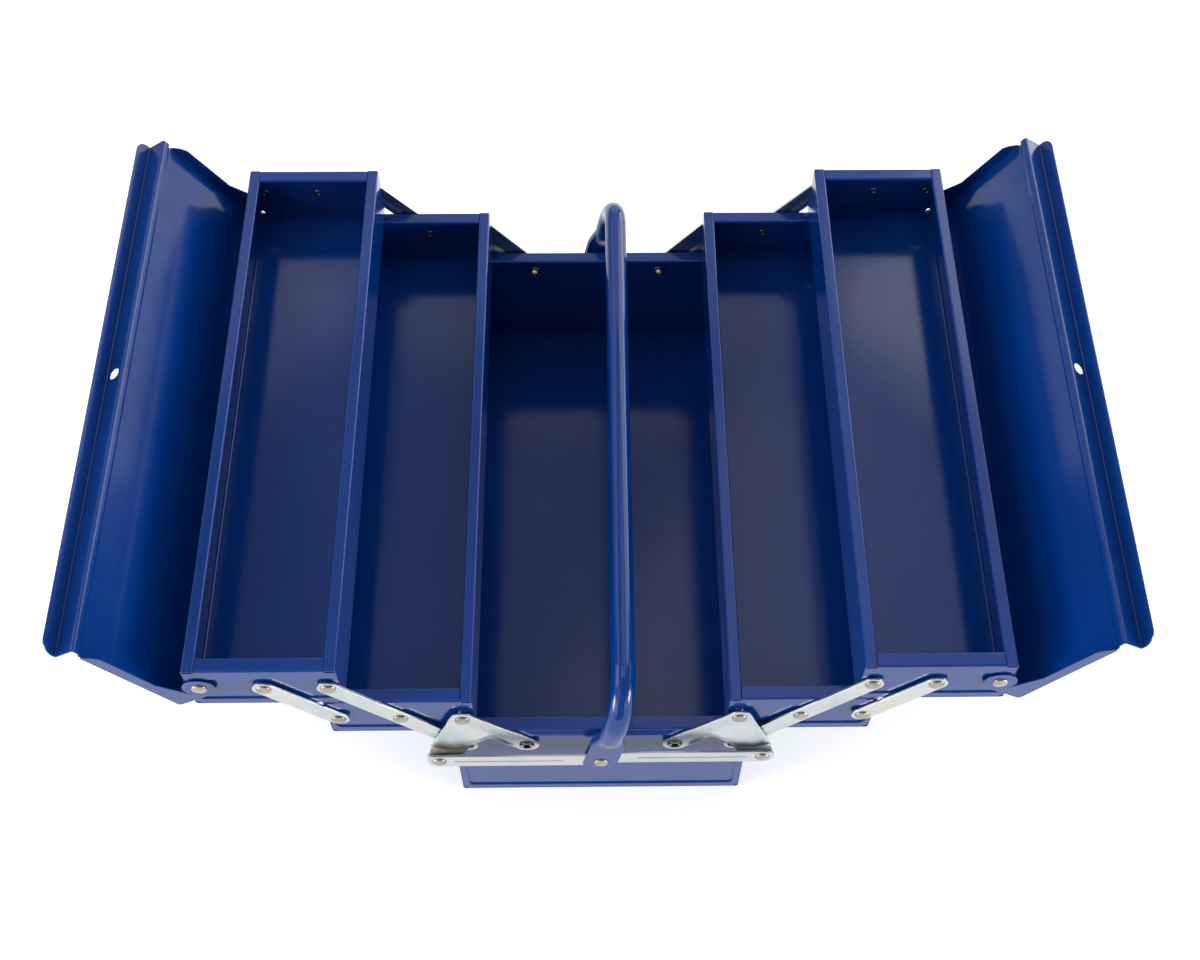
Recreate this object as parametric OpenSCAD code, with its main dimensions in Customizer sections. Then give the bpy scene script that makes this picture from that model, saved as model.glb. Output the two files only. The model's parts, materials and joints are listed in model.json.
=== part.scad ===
// Cantilever tool box with a base bin, four trays and two lids, drawn open.
// X runs across the box, Y along it and Z is up. The origin is under the middle of the base bin.
// Each piece is drawn for the right-hand side or the front end, and mirrored to the others.

/* [Base bin] */
// Outside length of the base bin and of every tray
box_len = 416; // [300:2:520]
// Outside width of the base bin
base_w = 200; // [180:2:260]
// Height of the base bin from the floor to its rim
base_h = 105.2; // [80:0.2:150]
// How far the base bin stands out past a shut tray on each side
base_margin = 1.5; // [0.5:0.1:4]

/* [Trays] */
// Height of a tray from its floor to its rim
tray_h = 46.2; // [42:0.2:64]
// Half the gap between the left and right trays when they are shut
centre_gap = 2.5; // [1.5:0.1:5]
// Gap between a tray's floor and the rim that it rests on
stack_gap = 0.6; // [0.3:0.1:2]

/* [Sheet metal] */
// Thickness of the sheet
sheet = 0.8; // [0.6:0.1:1]
// Bend radius along the floor edges, at the middle of the sheet
floor_bend = 2; // [1:0.1:3]
// Bend radius along the rims, at the middle of the sheet
rim_bend = 1; // [0.7:0.1:1.4]
// Width of the rim strip on the long sides
rim_w = 8; // [6:0.5:12]
// Width of the rim strip on the ends
end_rim_w = 10; // [6:0.5:14]
// Depth of the lip that is turned down inside each rim
rim_lip = 2.4; // [2.2:0.1:5]

/* [End panels] */
// Width of the border above the pressed panel
border_top = 10.5; // [8:0.5:14]
// Width of the border below the pressed panel
border_bottom = 6.7; // [5:0.1:10]
// Width of the side borders on the base bin
base_border = 5; // [4:0.1:5]
// Width of the side borders on a tray
tray_border = 3.6; // [2.5:0.1:3.6]
// Depth to which the panel is pressed in
press_depth = 1; // [0.4:0.1:1.6]
// Sideways run of the pressed panel's sloping edge
press_slope = 0.4; // [0.2:0.1:0.6]
// Corner radius of the pressed panel
press_corner = 4; // [2:0.5:6]
// Width of the flanges by which an end is welded in
weld_flange = 8; // [5:0.5:14]
// Radius of the relief hole where the folds meet in a bottom corner
corner_relief = 2.6; // [2.5:0.1:4]

/* [Linkage] */
// Depth of every pivot below the rim of the box that carries it
pivot_drop = 21.5; // [19:0.1:24]
// Distance of the outer pivots from a tray's long side
pivot_inset = 7.5; // [7.5:0.1:10]
// Width of the arms and of the corner plates' limbs
arm_w = 17; // [14:0.5:18]
// Thickness of the arms
arm_t = 1.8; // [1:0.1:2.4]
// Gap between the links and the end that they lie against
link_gap = 0.4; // [0.3:0.1:1]
// Thickness of the corner plates and the handle bars
plate_t = 1.5; // [1:0.1:2]
// Distance across from a corner plate's base pivot to its bar pivot
crank_reach = 59.7; // [56:0.1:66]
// Drop from a corner plate's base pivot to its bar pivot
crank_drop = 4.5; // [2:0.1:6]
// Distance of the notch in a corner plate from its base pivot
notch_at = 30; // [22:0.5:36]
// Outward rise of a corner plate's second step
plate_step = 2.4; // [1.5:0.1:4]
// Width of the handle bars
bar_w = 16; // [14:0.5:20]
// Width of the crease pressed along a handle bar
crease_w = 1.2; // [0.6:0.1:2]
// Depth of the crease
crease_depth = 0.4; // [0.2:0.1:0.6]
// Distance of the crease's inner end from the handle pin
crease_from_pin = 25.6; // [20:0.2:34]
// Distance of the crease's outer end from the corner plate's rivet
crease_from_rivet = 10.4; // [8:0.2:20]

/* [Rivets] */
// Shank radius of the rivets
shank_r = 2.5; // [1.5:0.1:2.8]
// Shoulder radius of the rivets
shoulder_r = 3.2; // [3:0.1:3.4]
// Head radius of the rivets
head_r = 5; // [4:0.1:6]
// Height of a rivet's head
head_h = 1.6; // [1:0.1:2]
// Height of the straight edge of a head
head_edge = 0.4; // [0.2:0.1:0.6]
// Height of a rivet's closed tail
tail_h = 1; // [0.5:0.1:1.5]
// Radius of the hollow in a rivet's tail
tail_hollow_r = 1.4; // [0.8:0.1:1.6]
// Barrel radius of the base eyelets
eyelet_r = 3.2; // [3:0.1:3.6]
// Bore radius of the base eyelets
eyelet_bore_r = 2.4; // [1.8:0.1:2.6]
// Shoulder and flange radius of the base eyelets
eyelet_flange_r = 5.4; // [4.5:0.1:6.5]
// Radius of the pins that carry the handle
pin_r = 3; // [2.5:0.1:3.4]
// Radial clearance of a hole on its rivet
fit = 0.05; // [0.02:0.01:0.1]
// Clearance along a rivet beside each link
slip = 0.1; // [0.05:0.05:0.3]
// Clearance between flat pieces that slide past each other
pass_gap = 0.2; // [0.15:0.05:0.5]
// Extra radius of the right bars' holes at the handle pins, taken up as the box folds
bar_play = 2; // [1.8:0.1:3]

/* [Lids] */
// Height of a shut lid's top above the tray rim
lid_clear = 6.5; // [5:0.1:10]
// How far a shut lid stands out past the tray's long side
lid_overhang = 3.3; // [2:0.1:5]
// Angle through which a lid opens
lid_open = 123; // [110:1:135]
// Gap between the lid's skirt and the tray side that stops it
stop_gap = 0.3; // [0.2:0.1:1]
// Gap between a lid's end flanges and the tray ends
lid_gap = 0.5; // [0.3:0.1:1]
// Depth of a lid's end flanges
lid_flange = 8.7; // [7.5:0.1:12]
// Width of an end flange where the hinge ear leaves it
ear_root = 29.5; // [24:0.5:36]
// Half the gap between the shut lids
lid_meet = 0.4; // [0.2:0.1:1]
// Distance from the middle of the box to a shut lid's upright face
ridge_half = 11.4; // [9:0.1:14]
// Height of the upright face above the lid's top
ridge_h = 12.2; // [10:0.1:18]
// Width of the bead below the upright face
bead_w = 7; // [5.5:0.5:9]
// Depth of the bead
bead_h = 2.4; // [2:0.1:2.6]
// Radius of the lip's corners
lip_corner = 9; // [4:0.5:9]
// Radius of the padlock hole in the upright face
lock_hole_r = 4.25; // [3:0.25:4.5]

/* [Handle] */
// Outside diameter of the handle tube
tube_d = 16; // [14:0.5:18]
// Wall of the handle tube
tube_wall = 1.2; // [0.8:0.1:1.6]
// Height of the grip's axis above the handle pins
leg_len = 81; // [76:1:110]
// Bend radius of the tube's axis
grip_bend = 30; // [20:1:32]
// Width of the flattened tube ends
flat_w = 24; // [20:0.5:26]
// Height of the flattened ends above the pins
flat_up = 23; // [23:0.5:26]
// Depth of the flattened ends below the pins
flat_down = 9; // [9:0.5:14]
// Length over which the tube turns from flat to round
flat_taper = 18; // [10:1:20]
// Lean of the handle towards the right
handle_lean = 10.3; // [0:0.1:20]

/* [Hidden] */
$fn = 48;
bend_steps = 6;
cut = 1;
front = 0;
back = 1;
right = 0;
left = 1;
paint = "#1b3a80";
zinc = "#c9d3d2";
nickel = "#d8d0c0";

// Tray widths and the pivot grid that every link shares
tray_w = base_w / 2 - base_margin - centre_gap;
shut_x = tray_w / 2 + centre_gap;
pitch = tray_w / 2 - pivot_inset;
rise = tray_h + stack_gap;
arm_len = norm([pitch, rise]);
link_angle = atan2(rise, pitch);
lower_x = shut_x + 2 * pitch;
upper_x = shut_x + 4 * pitch;
lower_floor = base_h + stack_gap;
upper_floor = lower_floor + rise;
base_pivot_z = base_h - pivot_drop;
lower_pivot_z = base_pivot_z + rise;
upper_pivot_z = lower_pivot_z + rise;

plate_base = [shut_x, base_pivot_z];
arm_base = [shut_x + pitch, base_pivot_z];
plate_tray = [lower_x - pitch, lower_pivot_z];
arm_lower = [lower_x, lower_pivot_z];
short_lower = [lower_x + pitch, lower_pivot_z];
arm_upper = [upper_x - pitch, upper_pivot_z];
short_upper = [upper_x, upper_pivot_z];
lid_hinge = [upper_x + pitch, upper_pivot_z];
plate_bar = plate_base + [crank_reach, -crank_drop];
bar_pin = [0, plate_bar.y];

// Levels outward from the end borders
panel_face = -press_depth;
panel_back = panel_face - sheet;
arm_out = link_gap + arm_t;
limb_out = link_gap + plate_t;
step_in = arm_out + slip + head_h + link_gap;
crank_in = step_in + plate_step;
crank_out = crank_in + plate_t;
inner_bar = crank_out + pass_gap + slip;
outer_bar = inner_bar + plate_t + pass_gap;
cheek_in = inner_bar - pass_gap - tube_wall;
cheek_out = outer_bar + plate_t + pass_gap + tube_wall;
leg_out = (cheek_in + cheek_out) / 2;
flat_t = cheek_out - cheek_in;
slot_t = flat_t - 2 * tube_wall;

// Lid sizes measured from its hinge, with the lid shut
lid_side = pivot_inset + lid_overhang;
lid_rise = pivot_drop + lid_clear;
lid_skirt_end = (pivot_inset + stop_gap - lid_side * cos(lid_open)) / sin(lid_open);
lid_bend = 2.5;
bead_bend = 0.9;
ridge_bend = 1.6;
hinge_shut_x = shut_x + pitch;
ridge_x = ridge_half - hinge_shut_x;
bead_x = ridge_x + bead_w;
lip_x = lid_meet - hinge_shut_x;
lid_half = box_len / 2 + lid_gap + sheet;
lip_half = box_len / 2 + lid_gap;

// Geometry helpers
function unit(v) = v / norm(v);
function left_of(v) = [-v.y, v.x];
function turned(v, a) = [v.x * cos(a) - v.y * sin(a), v.x * sin(a) + v.y * cos(a)];
function turn_angle(a, b) = atan2(a.x * b.y - a.y * b.x, a * b);
function arc(centre, r, from, to) =
    [for (i = [0 : bend_steps]) centre + r * [cos(from + (to - from) * i / bend_steps),
                                              sin(from + (to - from) * i / bend_steps)]];

// Where a line from p touches the circle at c
function touch_point(p, c, r, side) =
    let (a = atan2(p.y - c.y, p.x - c.x) + side * acos(r / norm(p - c)))
    c + r * [cos(a), sin(a)];

// One face of a sheet that follows a path, side being the distance to the left of its middle
function face_points(path, bends, side) =
    let (last = len(path) - 1)
    [for (i = [0 : last])
        let (into = unit(path[max(i, 1)] - path[max(i, 1) - 1]),
             out = unit(path[min(i, last - 1) + 1] - path[min(i, last - 1)]),
             turn = turn_angle(into, out),
             steps = i == 0 || i == last ? 0 : bend_steps,
             trim = steps == 0 ? 0 : bends[i] * tan(abs(turn) / 2),
             centre = path[i] - into * trim + sign(turn) * bends[i] * left_of(into))
        for (k = [0 : steps])
            let (n = left_of(turned(into, steps == 0 ? 0 : turn * k / steps)))
            steps == 0 ? path[i] + side * n : centre + (side - sign(turn) * bends[i]) * n];

// Section of a folded sheet along a path, with a bend radius for each point
module folded_section(path, bends, thick) {
    outer = face_points(path, bends, thick / 2);
    inner = face_points(path, bends, -thick / 2);
    polygon(concat(outer, [for (i = [len(inner) - 1 : -1 : 0]) inner[i]]));
}

// A strip along X with round ends about two points
module strip(from_x, to_x, r) {
    for (x = [from_x, to_x]) translate([x, 0]) circle(r);
    translate([from_x, -r]) square([to_x - from_x, 2 * r]);
}

module rounded_rect(low, high, r) {
    for (x = [low.x + r, high.x - r], y = [low.y + r, high.y - r])
        translate([x, y]) circle(r);
    translate([low.x + r, low.y]) square([high.x - low.x - 2 * r, high.y - low.y]);
    translate([low.x, low.y + r]) square([high.x - low.x, high.y - low.y - 2 * r]);
}

module on_side(side) {
    mirror([side, 0, 0]) children();
}

// Children are drawn on the front end with X across, Y up and Z outward
module on_end(end) {
    mirror([0, end, 0])
        translate([0, -box_len / 2, 0]) rotate([90, 0, 0]) children();
}

module on_both_ends() {
    on_end(front) children();
    on_end(back) children();
}

module at(p, level) {
    translate([p.x, p.y, level]) children();
}

// Folded floor and long sides of a bin or tray
module folded_shell(w, h) {
    lip = w / 2 - rim_w + sheet / 2;
    wall = (w - sheet) / 2;
    top = h - sheet / 2;
    low = sheet / 2;
    half = [[wall, low], [wall, top], [lip, top], [lip, h - rim_lip]];
    path = concat([for (i = [3 : -1 : 0]) [-half[i].x, half[i].y]], half);
    half_bends = [floor_bend, rim_bend, rim_bend, 0];
    bends = concat([for (i = [3 : -1 : 0]) half_bends[i]], half_bends);
    rotate([90, 0, 0]) linear_extrude(box_len, center = true)
        folded_section(path, bends, sheet);
}

// A panel pressed inward with sloping edges, from an outline at the end's outer face
module pressing(half_w, low, high, depth) {
    across = [[-half_w, cut], [half_w, cut], [half_w, 0], [half_w - press_slope, -depth],
              [press_slope - half_w, -depth], [-half_w, 0]];
    upright = [[cut, low], [cut, high], [0, high], [-depth, high - press_slope],
               [-depth, low + press_slope], [0, low]];
    intersection() {
        translate([0, high, 0]) rotate([90, 0, 0]) linear_extrude(high - low) polygon(across);
        rotate([0, -90, 0]) linear_extrude(2 * half_w, center = true) polygon(upright);
        translate([0, 0, -depth]) linear_extrude(depth + cut)
            rounded_rect([-half_w, low], [half_w, high], press_corner);
    }
}

module end_outline(w, h) {
    half = w / 2 - sheet;
    difference() {
        union() {
            translate([-half, sheet]) square([2 * half, h - rim_lip - sheet]);
            translate([rim_w - w / 2, sheet])
                square([w - 2 * rim_w, h - rim_bend - 1.5 * sheet]);
        }
        for (x = [-half, half]) translate([x, sheet]) circle(corner_relief);
    }
}

// End of a bin or tray with its rim, pressed panel and weld flanges, drawn in its own box
module end_panel(w, h, border, holes) {
    rim_path = [[sheet / 2 - end_rim_w, h - rim_lip], [sheet / 2 - end_rim_w, h - sheet / 2],
                [-sheet / 2, h - sheet / 2], [-sheet / 2, h - 2 * rim_lip]];
    flange_clear = 2 * corner_relief;
    press_half = w / 2 - border;
    press_high = h - border_top;
    difference() {
        union() {
            translate([0, 0, -sheet]) linear_extrude(sheet) end_outline(w, h);
            intersection() {
                pressing(press_half + sheet / 2, border_bottom - sheet / 2,
                         press_high + sheet / 2, press_depth + sheet);
                translate([-w, 0, -press_depth - 2 * sheet])
                    cube([2 * w, h, press_depth + 2 * sheet]);
            }
            rotate([0, -90, 0]) linear_extrude(w - 2 * rim_w, center = true)
                folded_section(rim_path, [0, rim_bend, rim_bend, 0], sheet);
            for (s = [-1, 1])
                translate([s * (w / 2 - 1.5 * sheet) - sheet / 2, sheet + flange_clear, -weld_flange])
                    cube([sheet, h - rim_lip - sheet - 2 * flange_clear, weld_flange]);
            translate([sheet + flange_clear - w / 2, sheet, -weld_flange])
                cube([w - 2 * sheet - 2 * flange_clear, sheet, weld_flange]);
        }
        pressing(press_half, border_bottom, press_high, press_depth);
        for (hole = holes)
            at([hole.x, h - pivot_drop], -weld_flange)
                cylinder(r = hole.y + fit, h = weld_flange + cut);
    }
}

module rivet_head() {
    dome_h = head_h - head_edge;
    dome_r = (head_r * head_r + dome_h * dome_h) / (2 * dome_h);
    rotate_extrude() intersection() {
        translate([0, head_h - dome_r]) circle(dome_r);
        square([head_r, head_h]);
    }
}

// A rivet whose tail closes behind one face and whose shoulder stands on the other
module rivet(p, behind, face, shoulder_end, head_at, r) {
    at(p, 0) difference() {
        union() {
            translate([0, 0, behind - tail_h]) cylinder(r = shoulder_r, h = tail_h);
            translate([0, 0, behind - tail_h]) cylinder(r = r, h = head_at - behind + tail_h + head_edge);
            translate([0, 0, face]) cylinder(r = shoulder_r, h = shoulder_end - face);
            translate([0, 0, head_at]) rivet_head();
        }
        translate([0, 0, behind - tail_h - cut]) cylinder(r = tail_hollow_r, h = tail_h + cut);
    }
}

// A rivet in an end panel that carries a link of the given thickness
module panel_rivet(p, gap, thick) {
    rivet(p, panel_back, panel_face, gap - slip, gap + thick + slip, shank_r);
}

// Base bin
module base_bin() {
    color(paint) folded_shell(base_w, base_h);
}

module base_end(end) {
    holes = [for (s = [-1, 1]) each [[s * plate_base.x, eyelet_r], [s * arm_base.x, shank_r]]];
    color(paint) on_end(end) end_panel(base_w, base_h, base_border, holes);
}

module base_rivets() {
    color(nickel) for (side = [right, left])
        on_side(side) on_both_ends() panel_rivet(arm_base, link_gap, arm_t);
}

// Hollow eyelets on which the corner plates turn
module base_eyelets() {
    bottom = panel_back - tail_h;
    top = limb_out + slip + tail_h;
    color(nickel) for (side = [right, left])
        on_side(side) on_both_ends() at(plate_base, 0) difference() {
            union() {
                translate([0, 0, bottom]) cylinder(r = eyelet_flange_r, h = tail_h);
                translate([0, 0, bottom]) cylinder(r = eyelet_r, h = top - bottom);
                translate([0, 0, panel_face])
                    cylinder(r = eyelet_flange_r, h = link_gap - slip - panel_face);
                translate([0, 0, top - tail_h]) cylinder(r = eyelet_flange_r, h = tail_h);
            }
            translate([0, 0, bottom - cut])
                cylinder(r = eyelet_bore_r, h = top - bottom + 2 * cut);
        }
}

// Trays
module tray(x, floor_z) {
    color(paint) translate([x, 0, floor_z]) folded_shell(tray_w, tray_h);
}

module tray_end(x, floor_z, end) {
    holes = [for (i = [-1 : 1]) [i * pitch, shank_r]];
    color(paint) translate([x, 0, floor_z]) on_end(end)
        end_panel(tray_w, tray_h, tray_border, holes);
}

module lower_rivets() {
    color(nickel) on_both_ends() {
        panel_rivet(plate_tray, link_gap, plate_t);
        panel_rivet(arm_lower, link_gap, arm_t);
        panel_rivet(short_lower, link_gap, arm_t);
    }
}

module upper_rivets() {
    color(nickel) on_both_ends() {
        panel_rivet(arm_upper, link_gap, arm_t);
        panel_rivet(short_upper, link_gap, arm_t);
        panel_rivet(lid_hinge, lid_gap, sheet);
    }
}

// Links
module arm(end, pivots) {
    along = [for (p = pivots) norm(p - pivots[0])];
    color(zinc) on_end(end) at(pivots[0], link_gap) rotate(link_angle) linear_extrude(arm_t) difference() {
        strip(0, max(along), arm_w / 2);
        for (x = along) translate([x, 0]) circle(shank_r + fit);
    }
}

module long_arm(end) {
    arm(end, [arm_base, arm_lower, arm_upper]);
}

module short_arm(end) {
    arm(end, [short_lower, short_upper]);
}

// A corner plate is drawn along its limb, from the base pivot to the tray pivot
crank_point = turned(plate_bar - plate_base, -link_angle);
limb_r = arm_w / 2;
limb_end = [arm_len, 0];
notch = [notch_at, -limb_r];

module plate_outline() {
    edge = limb_r * left_of(unit(crank_point - limb_end));
    inner_touch = touch_point(notch, crank_point, limb_r, 1);
    difference() {
        union() {
            strip(0, arm_len, limb_r);
            translate(crank_point) circle(limb_r);
            polygon([notch, inner_touch, crank_point, crank_point + edge, limb_end + edge, limb_end]);
        }
        circle(eyelet_r + fit);
        translate(limb_end) circle(shank_r + fit);
        translate(crank_point) circle(shank_r + fit);
    }
}

// Steps outward, over the arm's rivet and then out to the handle bar
module plate_steps() {
    ramp = limb_r * 0.7;
    first = -limb_r;
    second = (crank_point.y - limb_r) / 2 - ramp / 2;
    mid = plate_t / 2;
    path = [[limb_r + cut, link_gap + mid], [first, link_gap + mid],
            [first - ramp, step_in + mid], [second, step_in + mid],
            [second - ramp, crank_in + mid], [crank_point.y - limb_r - cut, crank_in + mid]];
    reach = arm_len + crank_reach;
    translate([-limb_r - cut, 0, 0]) rotate([90, 0, 90]) linear_extrude(reach + 2 * arm_w)
        folded_section(path, [0, plate_t, plate_t, plate_t, plate_t, 0], plate_t);
}

module corner_plate(end) {
    color(zinc) on_end(end) at(plate_base, 0) rotate(link_angle) intersection() {
        linear_extrude(crank_out + cut) plate_outline();
        plate_steps();
    }
}

module plate_rivets(level) {
    color(nickel) on_both_ends()
        rivet(plate_bar, crank_in, crank_out, level - slip, level + plate_t + slip, shank_r);
}

// Drawn along X from the handle pin to the corner plate
module handle_bar(end, level, pin_hole_r) {
    color(zinc) on_end(end) at(bar_pin, level) difference() {
        linear_extrude(plate_t) difference() {
            strip(0, plate_bar.x, bar_w / 2);
            translate([plate_bar.x, 0]) circle(shank_r + fit);
            circle(pin_hole_r);
        }
        translate([0, 0, plate_t - crease_depth]) linear_extrude(crease_depth + cut)
            strip(crease_from_pin, plate_bar.x - crease_from_rivet, crease_w / 2);
    }
}

// Lid, drawn shut with its hinge axis at the origin and its side towards +X
module lid_flange_outline() {
    root = [lid_side - ear_root, lid_rise - lid_flange];
    corner = [lid_side - lid_bend, lid_rise - lid_bend];
    corner_r = lid_bend;
    tip = bead_x + 2 * bead_bend;
    translate([0, 0]) circle(lid_side);
    polygon(concat([[lid_side, 0]], arc(corner, corner_r, 0, 90),
                   [[tip, lid_rise], [tip, lid_rise - 2 * sheet],
                    [tip + lid_flange / 2, lid_rise - 0.7 * lid_flange],
                    [tip + lid_flange, lid_rise - lid_flange], root],
                   [touch_point(root, [0, 0], lid_side, -1), [0, 0]]));
}

module lid_section(points, bends, half) {
    rotate([90, 0, 0]) linear_extrude(2 * half, center = true) folded_section(points, bends, sheet);
}

module lip_plan() {
    reach = hinge_shut_x;
    translate([lip_x + lip_corner, -lip_half]) square([reach, 2 * lip_half]);
    translate([lip_x, lip_corner - lip_half]) square([reach, 2 * (lip_half - lip_corner)]);
    for (y = [lip_corner - lip_half, lip_half - lip_corner])
        translate([lip_x + lip_corner, y]) circle(lip_corner);
}

module lid() {
    skin = lid_rise - sheet / 2;
    bead = skin - bead_h;
    ridge = skin + ridge_h;
    lap = 3 * bead_bend;
    side = lid_side - sheet / 2;
    color(paint) translate([lid_hinge.x, 0, lid_hinge.y]) rotate([0, lid_open, 0]) difference() {
        union() {
            lid_section([[side, lid_skirt_end], [side, skin], [bead_x + lap, skin]],
                        [0, lid_bend - sheet / 2, 0], lid_half);
            intersection() {
                lid_section([[bead_x + 2 * lap, skin], [bead_x, skin], [bead_x - bead_h, bead],
                             [ridge_x, bead], [ridge_x, ridge], [lip_x, ridge]],
                            [0, bead_bend, bead_bend, ridge_bend, bead_bend, 0], lip_half);
                linear_extrude(2 * (lid_rise + ridge_h)) lip_plan();
            }
            for (end = [front, back])
                on_end(end) translate([0, 0, lid_gap]) linear_extrude(sheet) lid_flange_outline();
        }
        translate([ridge_x, 0, lid_rise + (ridge_h - bead_h) / 2]) rotate([0, 90, 0])
            cylinder(r = lock_hole_r, h = 4 * sheet, center = true);
        on_both_ends() translate([0, 0, lid_gap - cut])
            cylinder(r = shank_r + fit, h = sheet + 2 * cut);
    }
}

// Handle, drawn upright with the pins' axis at the origin
half_span = box_len / 2 + leg_out;
taper_top = flat_up + flat_taper;

module tube_run(r) {
    translate([0, 0, leg_len]) rotate([90, 0, 0])
        cylinder(r = r, h = 2 * (half_span - grip_bend), center = true);
    for (end = [front, back]) mirror([0, end, 0]) {
        translate([0, grip_bend - half_span, leg_len - grip_bend]) rotate([90, 0, -90])
            rotate_extrude(angle = 90) translate([grip_bend, 0]) circle(r);
        translate([0, -half_span, taper_top])
            cylinder(r = r, h = leg_len - grip_bend - taper_top);
    }
}

module flat_section(w, t) {
    strip((t - w) / 2, (w - t) / 2, t / 2);
}

module flat_to_round(w, t, r) {
    skin = 0.01;
    hull() {
        translate([0, 0, flat_up - skin]) linear_extrude(skin) flat_section(w, t);
        translate([0, 0, taper_top]) linear_extrude(skin) circle(r);
    }
}

module flat_end() {
    intersection() {
        translate([0, 0, -flat_down]) linear_extrude(flat_down + flat_up) flat_section(flat_w, flat_t);
        rotate([90, 0, 0]) linear_extrude(2 * flat_t, center = true)
            rounded_rect([-flat_w / 2, -flat_down], [flat_w / 2, flat_up + flat_w], flat_t / 2);
    }
}

module handle() {
    bore_r = tube_d / 2 - tube_wall;
    color(paint) translate([bar_pin.x, 0, bar_pin.y]) rotate([0, handle_lean, 0]) difference() {
        union() {
            tube_run(tube_d / 2);
            for (s = [-1, 1]) translate([0, s * half_span, 0]) {
                flat_end();
                flat_to_round(flat_w, flat_t, tube_d / 2);
            }
        }
        tube_run(bore_r);
        for (s = [-1, 1]) translate([0, s * half_span, 0]) {
            flat_to_round(flat_w - 2 * tube_wall, slot_t, bore_r);
            translate([-flat_w, -slot_t / 2, -flat_down - cut])
                cube([2 * flat_w, slot_t, flat_down + flat_up + cut - tube_wall]);
            rotate([90, 0, 0]) cylinder(r = pin_r + fit, h = 2 * flat_t, center = true);
        }
    }
}

module handle_rivets() {
    color(nickel) on_both_ends()
        rivet(bar_pin, cheek_in - slip, cheek_in - slip, cheek_in - slip, cheek_out + slip, pin_r);
}

base_bin();
base_end(front);  // base_front_end
base_end(back);  // base_back_end
base_rivets();
base_eyelets();

tray(lower_x, lower_floor);  // right_lower_tray
tray_end(lower_x, lower_floor, front);  // right_lower_front_end
tray_end(lower_x, lower_floor, back);  // right_lower_back_end
lower_rivets();  // right_lower_rivets
tray(upper_x, upper_floor);  // right_upper_tray
tray_end(upper_x, upper_floor, front);  // right_upper_front_end
tray_end(upper_x, upper_floor, back);  // right_upper_back_end
upper_rivets();  // right_upper_rivets
lid();  // right_lid
long_arm(front);  // right_front_long_arm
long_arm(back);  // right_back_long_arm
short_arm(front);  // right_front_short_arm
short_arm(back);  // right_back_short_arm
corner_plate(front);  // right_front_corner_plate
corner_plate(back);  // right_back_corner_plate
plate_rivets(inner_bar);  // right_plate_rivets
handle_bar(front, inner_bar, pin_r + bar_play);  // right_front_handle_bar
handle_bar(back, inner_bar, pin_r + bar_play);  // right_back_handle_bar

on_side(left) tray(lower_x, lower_floor);  // left_lower_tray
on_side(left) tray_end(lower_x, lower_floor, front);  // left_lower_front_end
on_side(left) tray_end(lower_x, lower_floor, back);  // left_lower_back_end
on_side(left) lower_rivets();  // left_lower_rivets
on_side(left) tray(upper_x, upper_floor);  // left_upper_tray
on_side(left) tray_end(upper_x, upper_floor, front);  // left_upper_front_end
on_side(left) tray_end(upper_x, upper_floor, back);  // left_upper_back_end
on_side(left) upper_rivets();  // left_upper_rivets
on_side(left) lid();  // left_lid
on_side(left) long_arm(front);  // left_front_long_arm
on_side(left) long_arm(back);  // left_back_long_arm
on_side(left) short_arm(front);  // left_front_short_arm
on_side(left) short_arm(back);  // left_back_short_arm
on_side(left) corner_plate(front);  // left_front_corner_plate
on_side(left) corner_plate(back);  // left_back_corner_plate
on_side(left) plate_rivets(outer_bar);  // left_plate_rivets
on_side(left) handle_bar(front, outer_bar, pin_r + fit);  // left_front_handle_bar
on_side(left) handle_bar(back, outer_bar, pin_r + fit);  // left_back_handle_bar

handle_rivets();
handle();
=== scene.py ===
"""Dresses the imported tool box: painted sheet, zinc links, rivets, tube handle, studio and camera."""
import json
import math

import bmesh
import bpy
from mathutils import Matrix, Vector, geometry, kdtree

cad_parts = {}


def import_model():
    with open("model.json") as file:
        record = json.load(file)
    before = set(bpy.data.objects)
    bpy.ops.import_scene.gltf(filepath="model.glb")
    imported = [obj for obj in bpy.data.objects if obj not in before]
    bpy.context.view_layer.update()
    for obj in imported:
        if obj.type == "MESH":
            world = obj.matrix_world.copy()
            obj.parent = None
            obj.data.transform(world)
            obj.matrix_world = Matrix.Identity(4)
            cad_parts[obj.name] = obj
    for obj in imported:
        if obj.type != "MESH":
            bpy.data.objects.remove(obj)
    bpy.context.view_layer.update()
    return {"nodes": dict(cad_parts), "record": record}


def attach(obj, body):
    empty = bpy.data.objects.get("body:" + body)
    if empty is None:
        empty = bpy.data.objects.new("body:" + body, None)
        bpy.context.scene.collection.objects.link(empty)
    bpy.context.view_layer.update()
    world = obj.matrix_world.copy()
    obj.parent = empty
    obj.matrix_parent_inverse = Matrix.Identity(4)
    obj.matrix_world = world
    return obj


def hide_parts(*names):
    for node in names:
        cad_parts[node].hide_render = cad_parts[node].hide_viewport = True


MM = 0.001
PLACE_DIGITS = 4

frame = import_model()
nodes = frame["nodes"]
behaviour = frame["record"]["behaviour"]
slot_of = {part["node"]: part["material_slot"] for part in frame["record"]["subparts"]}
body_of = {node: body for body, members in behaviour["bodies"].items() for node in members}
place_of = {joint["name"]: joint["pos_m"] for joint in behaviour["joints"]}


def pivot(joint):
    """A joint's place across and up, in millimetres."""
    across, _, up = place_of[joint]
    return round(across / MM, PLACE_DIGITS), round(up / MM, PLACE_DIGITS)


# Camera that matches the photograph, in metres and degrees
CAMERA_PLACE = (-0.0042, -0.6272, 1.0763)
CAMERA_PITCH = -59.67
CAMERA_YAW = -1.60
CAMERA_ROLL = 0.99
CAMERA_LENS = 46.885
SENSOR_WIDTH = 36.0
CAMERA_SHIFT = (-0.0129, 0.0485)
CAMERA_NEAR = 0.01

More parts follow.
